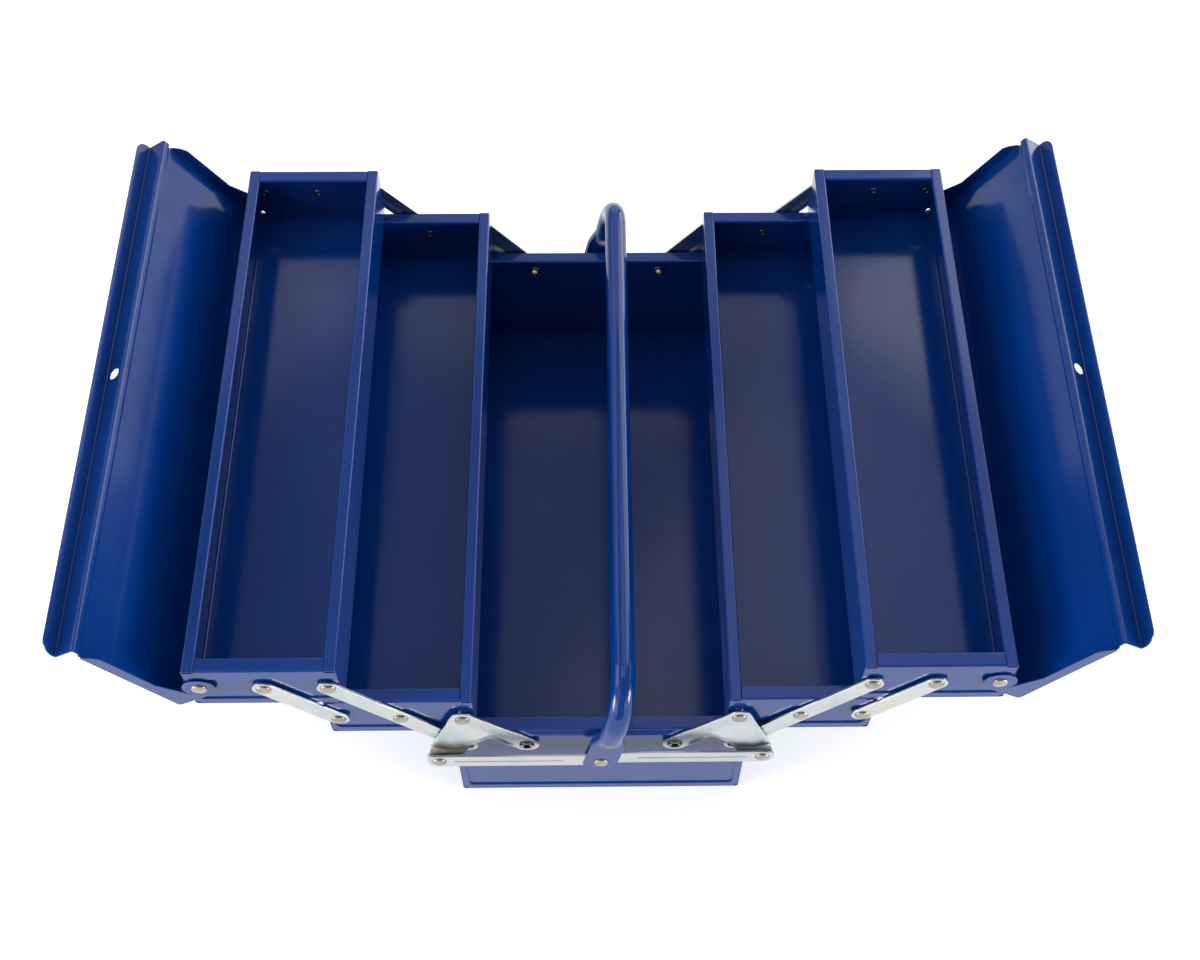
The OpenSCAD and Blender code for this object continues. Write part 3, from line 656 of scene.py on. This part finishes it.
def make_rivets():
    """Domed rivets, a piece for each node of them."""
    tree = rivet_tree()
    groups = {"handle_rivets": [(*BAR_PIN, PIN_RIVET, PIN_R)], "base_rivets": []}
    bar_rows = {"right": RIGHT_BAR_RIVET, "left": LEFT_BAR_RIVET}
    for side, way in SIDES:
        groups["base_rivets"].append((way * ARM_BASE[0], ARM_BASE[1], ARM_RIVET, SHANK_R))
        groups[f"{side}_lower_rivets"] = [
            (way * x, z, row, SHANK_R)
            for (x, z), row in ((PLATE_TRAY, PLATE_RIVET), (ARM_LOWER, ARM_RIVET),
                                (SHORT_LOWER, ARM_RIVET))]
        groups[f"{side}_upper_rivets"] = [
            (way * x, z, row, SHANK_R)
            for (x, z), row in ((ARM_UPPER, ARM_RIVET), (SHORT_UPPER, ARM_RIVET), (LID_HINGE, LID_RIVET))]
        groups[f"{side}_plate_rivets"] = [(way * PLATE_BAR[0], PLATE_BAR[1], bar_rows[side], SHANK_R)]
    for node, rows in groups.items():
        piece = grow("domed_" + node, rivet_points(node, rows), tree, finishes["rivets"])
        close_up(piece)
        fit_in(piece, node)


def make_eyelets():
    """Rolled eyelets on which the corner plates turn."""
    places = [(way * PLATE_BASE[0], PLATE_BASE[1]) for side, way in SIDES]
    piece = grow("rolled_base_eyelets", end_points("eyelets", places), eyelet_tree(), finishes["rivets"])
    close_up(piece)
    fit_in(piece, "base_eyelets")


def make_handle():
    """The tube handle, with its lean."""
    piece = grow("tube_handle", bpy.data.meshes.new("handle"), handle_tree(), finishes["grip"])
    close_up(piece)
    fit_in(piece, "handle")


def soften(obj, width, angle):
    """Rounds the edges that are sharper than an angle in degrees."""
    edge = obj.modifiers.new("edge", "BEVEL")
    edge.width = width
    edge.segments = EDGE_SEGMENTS
    edge.limit_method = "ANGLE"
    edge.angle_limit = math.radians(angle)
    edge.use_clamp_overlap = True


def round_edges(node, width):
    """A copy of a CAD node with softly rounded edges, so that they catch the light."""
    shape = bmesh.new()
    shape.from_mesh(nodes[node].data)
    bmesh.ops.remove_doubles(shape, verts=shape.verts, dist=MERGE_DISTANCE)
    bmesh.ops.dissolve_limit(shape, angle_limit=math.radians(COPLANAR_ANGLE),
                             verts=shape.verts, edges=shape.edges)
    mesh = bpy.data.meshes.new("rounded_" + node)
    shape.to_mesh(mesh)
    shape.free()
    mesh.shade_smooth()
    obj = bpy.data.objects.new("rounded_" + node, mesh)
    bpy.context.scene.collection.objects.link(obj)
    soften(obj, width, EDGE_ANGLE)
    shading = obj.modifiers.new("shading", "WEIGHTED_NORMAL")
    shading.mode = "FACE_AREA"
    shading.weight = AREA_WEIGHT
    shading.keep_sharp = False
    settle(obj)
    obj.data.materials.clear()
    obj.data.materials.append(finishes[slot_of[node]])
    fit_in(obj, node)


def make_sheet_and_bars():
    """Copies of the painted sheet and of the handle bars, with rounded edges."""
    for node, slot in slot_of.items():
        if node.endswith(("corner_plate", "_arm")):
            continue
        if slot == "links":
            round_edges(node, LINK_EDGE)
        elif slot == "paint" and node != "handle":
            round_edges(node, SHEET_EDGE)


# Pressed links
def smooth(low, high, value):
    """Goes smoothly from 0 at low to 1 at high."""
    share = min(max((value - low) / (high - low), 0), 1)
    return share * share * (3 - 2 * share)


def on_circle(centre, radius, angle):
    """The point of a circle at an angle in degrees."""
    turn = math.radians(angle)
    return Vector((centre[0] + radius * math.cos(turn), centre[1] + radius * math.sin(turn)))


def arc(centre, radius, start, stop):
    """Points on an arc, with angles in degrees."""
    count = max(2, round(abs(stop - start) / ARC_STEP))
    return [on_circle(centre, radius, start + (stop - start) * i / count) for i in range(count + 1)]


def hole(centre, radius):
    """Points around a hole."""
    return [on_circle(centre, radius, angle) for angle in range(0, 360, HOLE_STEP)]


def finely(points, step):
    """A line of points with no stretch longer than the step and no point twice in a row."""
    out = [points[0]]
    for before, after in zip(points, points[1:]):
        count = math.ceil((after - before).length / step - SAME_POINT)
        out.extend(before.lerp(after, i / count) for i in range(1, count + 1))
    return out


def is_inside(point, loop):
    """Whether a ray from the point crosses the loop an odd number of times."""
    inside = False
    for a, b in zip(loop, loop[1:] + loop[:1]):
        if (a.y > point.y) != (b.y > point.y):
            if point.x < a.x + (b.x - a.x) * (point.y - a.y) / (b.y - a.y):
                inside = not inside
    return inside


def is_metal(point, outline, holes):
    """Whether a point lies in the outline and in none of its holes."""
    return is_inside(point, outline) and not any(is_inside(point, loop) for loop in holes)


def line_distance(point, line):
    """The least distance from a point to a line of points."""
    best = math.inf
    for a, b in zip(line, line[1:]):
        run = b - a
        share = min(max((point - a).dot(run) / run.length_squared, 0), 1)
        best = min(best, (point - a - run * share).length)
    return best


class PlatePlan:
    """A corner plate seen from outside, along its limb from the eyelet at the origin to the tray's rivet."""

    def __init__(self):
        """Lays out the outline, the holes and the edges that the level goes by."""
        limb = Vector(PLATE_TRAY) - Vector(PLATE_BASE)
        reach = Vector(PLATE_BAR) - Vector(PLATE_BASE)
        self.along = limb.normalized()
        self.left = Vector((-self.along.y, self.along.x))
        self.tray = Vector((limb.length, 0))
        self.crank = Vector((reach.dot(self.along), reach.dot(self.left)))
        notch = Vector((NOTCH_AT, -LIMB_R))
        away = notch - self.crank
        turn = math.degrees(math.atan2(away.y, away.x) + math.acos(LIMB_R / away.length))
        touch = on_circle(self.crank, LIMB_R, turn)
        down = (touch - notch).normalized()
        outside = Vector((down.y, -down.x))
        start = NOTCH_FILLET * (1 + outside.y) / -down.y
        middle = notch + down * start + outside * NOTCH_FILLET
        fillet_end = math.degrees(math.atan2(-outside.y, -outside.x))
        fillet = arc(middle, NOTCH_FILLET, 90, fillet_end)
        out = (self.crank - self.tray).normalized()
        edge = math.degrees(math.atan2(out.x, -out.y))
        self.hollow_edge = finely([Vector((0, -LIMB_R))] + fillet + [touch], SHEET_STEP)
        rest = (arc(self.crank, LIMB_R, turn, edge + 360) + arc(self.tray, LIMB_R, edge, 90)
                + arc((0, 0), LIMB_R, 90, 270))
        self.outline = finely(self.hollow_edge + rest, SHEET_STEP)[:-1]
        self.holes = [hole((0, 0), EYELET_HOLE_R), hole(self.tray, RIVET_HOLE_R),
                      hole(self.crank, RIVET_HOLE_R)]
        self.facet_out = Vector((-out.y, out.x))
        self.facet_at = self.tray - self.facet_out * FACET_IN

    def level(self, point):
        """Outward level of the middle: a limb sloped from pad to pad, a raised web, a rolled hollow edge."""
        off_eyelet = smooth(*EYELET_RISE, point.length)
        off_tray = smooth(*TRAY_RISE, (point - self.tray).length)
        offset = point - self.crank
        above = offset.x * self.along.y + offset.y * self.left.y
        outwards = offset.x * self.along.x + offset.y * self.left.x
        at_crank, rolled = smooth(*CRANK_RISE, above), smooth(*ROLL_FADE, above)
        if outwards < -CRANK_REACH:
            at_crank, rolled = 0, 1
        pad_end = EYELET_RISE[0]
        share = min(max((point.x - pad_end) / (self.tray.x - pad_end), 0), 1)
        level = EYELET_PAD + (TRAY_PAD - EYELET_PAD) * share
        level += (WEB_LEVEL - level) * smooth(*WEB_RISE, -point.y) * off_eyelet
        roll = max(0, 1 - line_distance(point, self.hollow_edge) / ROLL_WIDTH) * ROLL_DROP * rolled
        facet = max(0, (point - self.facet_at).dot(self.facet_out)) * FACET_SLOPE
        level -= (roll + facet) * off_eyelet
        level = TRAY_PAD + (level - TRAY_PAD) * off_tray
        return level + (CRANK_LEVEL - level) * at_crank


def fill_sheet(outline, holes):
    """Points and triangles that fill an outline around its holes."""
    points, edges = [], []
    for loop in [outline] + holes:
        first = len(points)
        points.extend(loop)
        edges.extend((first + i, first + (i + 1) % len(loop)) for i in range(len(loop)))
    border = kdtree.KDTree(len(points))
    for index, point in enumerate(points):
        border.insert(point.to_3d(), index)
    border.balance()
    low = [min(p[i] for p in outline) for i in (0, 1)]
    high = [max(p[i] for p in outline) for i in (0, 1)]
    for row in range(int((high[1] - low[1]) / SHEET_GRID) + 1):
        for column in range(int((high[0] - low[0]) / SHEET_GRID) + 1):
            at = Vector((low[0] + (column + row % 2 / 2) * SHEET_GRID, low[1] + row * SHEET_GRID))
            if border.find(at.to_3d())[2] > GRID_CLEAR and is_metal(at, outline, holes):
                points.append(at)
    points, _, triangles = geometry.delaunay_2d_cdt(points, edges, [], HULL_TRIANGLES, WELD)[:3]
    kept = []
    for triangle in triangles:
        a, b, c = (points[i] for i in triangle)
        if abs((b - a).cross(c - a)) > SLIVER and is_metal((a + b + c) / 3, outline, holes):
            kept.append(triangle)
    return points, kept


def press_link(node, origin, along, sheet, levels, thickness):
    """A link of its own thickness, laid out on the right front and mirrored for the other three corners."""
    way = -1 if node.startswith("left") else 1
    end = -1 if "_front_" in node else 1
    left = Vector((-along.y, along.x))
    places = []
    for point, level in zip(sheet[0], levels):
        at = Vector(origin) + along * point.x + left * point.y
        places.append((way * at.x * MM, end * (END_PLANE + level) * MM, at.y * MM))
    mesh = bpy.data.meshes.new("pressed_" + node)
    mesh.from_pydata(places, [], sheet[1])
    piece = bpy.data.objects.new("pressed_" + node, mesh)
    bpy.context.scene.collection.objects.link(piece)
    wall = piece.modifiers.new("wall", "SOLIDIFY")
    wall.thickness = thickness * MM
    wall.offset = 0
    wall.use_even_offset = True
    soften(piece, LINK_EDGE, RIM_ANGLE)
    settle(piece)
    close_up(piece)
    piece.data.materials.append(finishes["links"])
    fit_in(piece, node)


def make_corner_plates():
    """Pressed plates at the four corners."""
    plan = PlatePlan()
    sheet = fill_sheet(plan.outline, plan.holes)
    levels = [plan.level(point) for point in sheet[0]]
    for corner in CORNERS:
        press_link(corner + "_corner_plate", PLATE_BASE, plan.along, sheet, levels, PLATE_T)


def make_arms():
    """Long and short arms at the four corners, each with a shallow bead between its rivets."""
    for kind, stops in (("long_arm", (ARM_BASE, ARM_LOWER, ARM_UPPER)),
                        ("short_arm", (SHORT_LOWER, SHORT_UPPER))):
        run = Vector(stops[-1]) - Vector(stops[0])
        marks = [(Vector(stop) - Vector(stops[0])).length for stop in stops]
        caps = arc((0, 0), ARM_R, 90, 270) + arc((marks[-1], 0), ARM_R, -90, 90)
        outline = finely(caps + caps[:1], SHEET_STEP)[:-1]
        holes = [hole((mark, 0), RIVET_HOLE_R) for mark in marks]
        sheet = fill_sheet(outline, holes)
        beads = [(Vector((a + BEAD_CLEAR, 0)), Vector((b - BEAD_CLEAR, 0)))
                 for a, b in zip(marks, marks[1:])]
        levels = []
        for point in sheet[0]:
            nearest = min(line_distance(point, bead) for bead in beads)
            levels.append(ARM_LEVEL + BEAD_H * smooth(*BEAD_RISE, nearest))
        for corner in CORNERS:
            press_link(f"{corner}_{kind}", stops[0], run.normalized(), sheet, levels, ARM_T)


# Studio
def studio_white():
    """White to the camera and in reflections, with a share of it lit so that the shadow shows."""
    material = bpy.data.materials.new("studio_floor_white")
    material.use_nodes = True
    tree = material.node_tree
    tree.nodes.clear()
    out = tree.nodes.new("ShaderNodeOutputMaterial")
    lit = tree.nodes.new("ShaderNodeBsdfDiffuse")
    lit.inputs["Color"].default_value = FLOOR_GREY
    glow = tree.nodes.new("ShaderNodeEmission")
    glow.inputs["Color"].default_value = FLOOR_TINT
    path = tree.nodes.new("ShaderNodeLightPath")
    seen = calc(tree, "MAXIMUM", path.outputs["Is Camera Ray"], path.outputs["Is Glossy Ray"])
    place = tree.nodes.new("ShaderNodeTexCoord")
    away = tree.nodes.new("ShaderNodeVectorMath")
    away.operation = "LENGTH"
    tree.links.new(place.outputs["Object"], away.inputs[0])
    fade = add(tree, "ShaderNodeMapRange",
               {"Value": away.outputs["Value"], "From Min": FLOOR_NEAR, "From Max": FLOOR_FAR,
                "To Min": FLOOR_GLOW, "To Max": 1.0})
    tree.links.new(calc(tree, "MULTIPLY", seen, fade), glow.inputs["Strength"])
    both = tree.nodes.new("ShaderNodeAddShader")
    tree.links.new(lit.outputs[0], both.inputs[0])
    tree.links.new(glow.outputs[0], both.inputs[1])
    tree.links.new(both.outputs[0], out.inputs["Surface"])
    return material


def floor():
    """A square of pale floor under the box."""
    mesh = bpy.data.meshes.new("studio_floor")
    corners = [(x * FLOOR_HALF, y * FLOOR_HALF, 0) for x, y in ((-1, -1), (1, -1), (1, 1), (-1, 1))]
    mesh.from_pydata(corners, [], [(0, 1, 2, 3)])
    obj = bpy.data.objects.new("studio_floor", mesh)
    bpy.context.scene.collection.objects.link(obj)
    mesh.materials.append(studio_white())


def softbox(name, bearing, height, size, radiance):
    """An area light that faces the box."""
    light = bpy.data.lights.new(name, "AREA")
    light.shape = "RECTANGLE"
    light.size, light.size_y = size
    light.energy = radiance * math.pi * size[0] * size[1]
    turn, lift = math.radians(bearing), math.radians(height)
    away = Vector((math.sin(turn) * math.cos(lift), math.cos(turn) * math.cos(lift), math.sin(lift)))
    obj = bpy.data.objects.new(name, light)
    obj.location = Vector(SOFTBOX_AT) + away * SOFTBOX_AWAY
    obj.rotation_euler = (-away).to_track_quat("-Z", "Y").to_euler()
    bpy.context.scene.collection.objects.link(obj)


def world():
    """White to the camera, and a dim even glow on the box."""
    scene = bpy.context.scene
    scene.world = bpy.data.worlds.new("studio")
    scene.world.use_nodes = True
    tree = scene.world.node_tree
    back = tree.nodes["Background"]
    back.inputs["Color"].default_value = WHITE
    back.inputs["Strength"].default_value = SKY_GLOW
    seen = tree.nodes.new("ShaderNodeBackground")
    seen.inputs["Color"].default_value = WHITE
    mix = tree.nodes.new("ShaderNodeMixShader")
    path = tree.nodes.new("ShaderNodeLightPath")
    tree.links.new(path.outputs["Is Camera Ray"], mix.inputs["Fac"])
    tree.links.new(back.outputs[0], mix.inputs[1])
    tree.links.new(seen.outputs[0], mix.inputs[2])
    tree.links.new(mix.outputs[0], tree.nodes["World Output"].inputs["Surface"])


def camera():
    """The camera at the photograph's viewing angle."""
    pitch, yaw, roll = (math.radians(a) for a in (CAMERA_PITCH, CAMERA_YAW, CAMERA_ROLL))
    level = Vector((math.cos(yaw), math.sin(yaw), 0))
    ahead = Vector((-math.sin(yaw), math.cos(yaw), 0))
    up = Vector((0, 0, 1))
    look = ahead * math.cos(pitch) + up * math.sin(pitch)
    top = up * math.cos(pitch) - ahead * math.sin(pitch)
    across = level * math.cos(roll) + top * math.sin(roll)
    upward = top * math.cos(roll) - level * math.sin(roll)
    data = bpy.data.cameras.new("photo_camera")
    data.lens = CAMERA_LENS
    data.sensor_width = SENSOR_WIDTH
    data.shift_x, data.shift_y = CAMERA_SHIFT
    data.clip_start = CAMERA_NEAR
    obj = bpy.data.objects.new("photo_camera", data)
    turn = Matrix((across, upward, -look)).transposed().to_4x4()
    obj.matrix_world = Matrix.Translation(CAMERA_PLACE) @ turn
    bpy.context.scene.collection.objects.link(obj)
    bpy.context.scene.camera = obj


# The whole scene
make_sheet_and_bars()
make_corner_plates()
make_arms()
make_rivets()
make_eyelets()
make_handle()
floor()
world()
camera()
for row in SOFTBOXES:
    softbox(*row)
bpy.context.scene.view_settings.view_transform = "Standard"
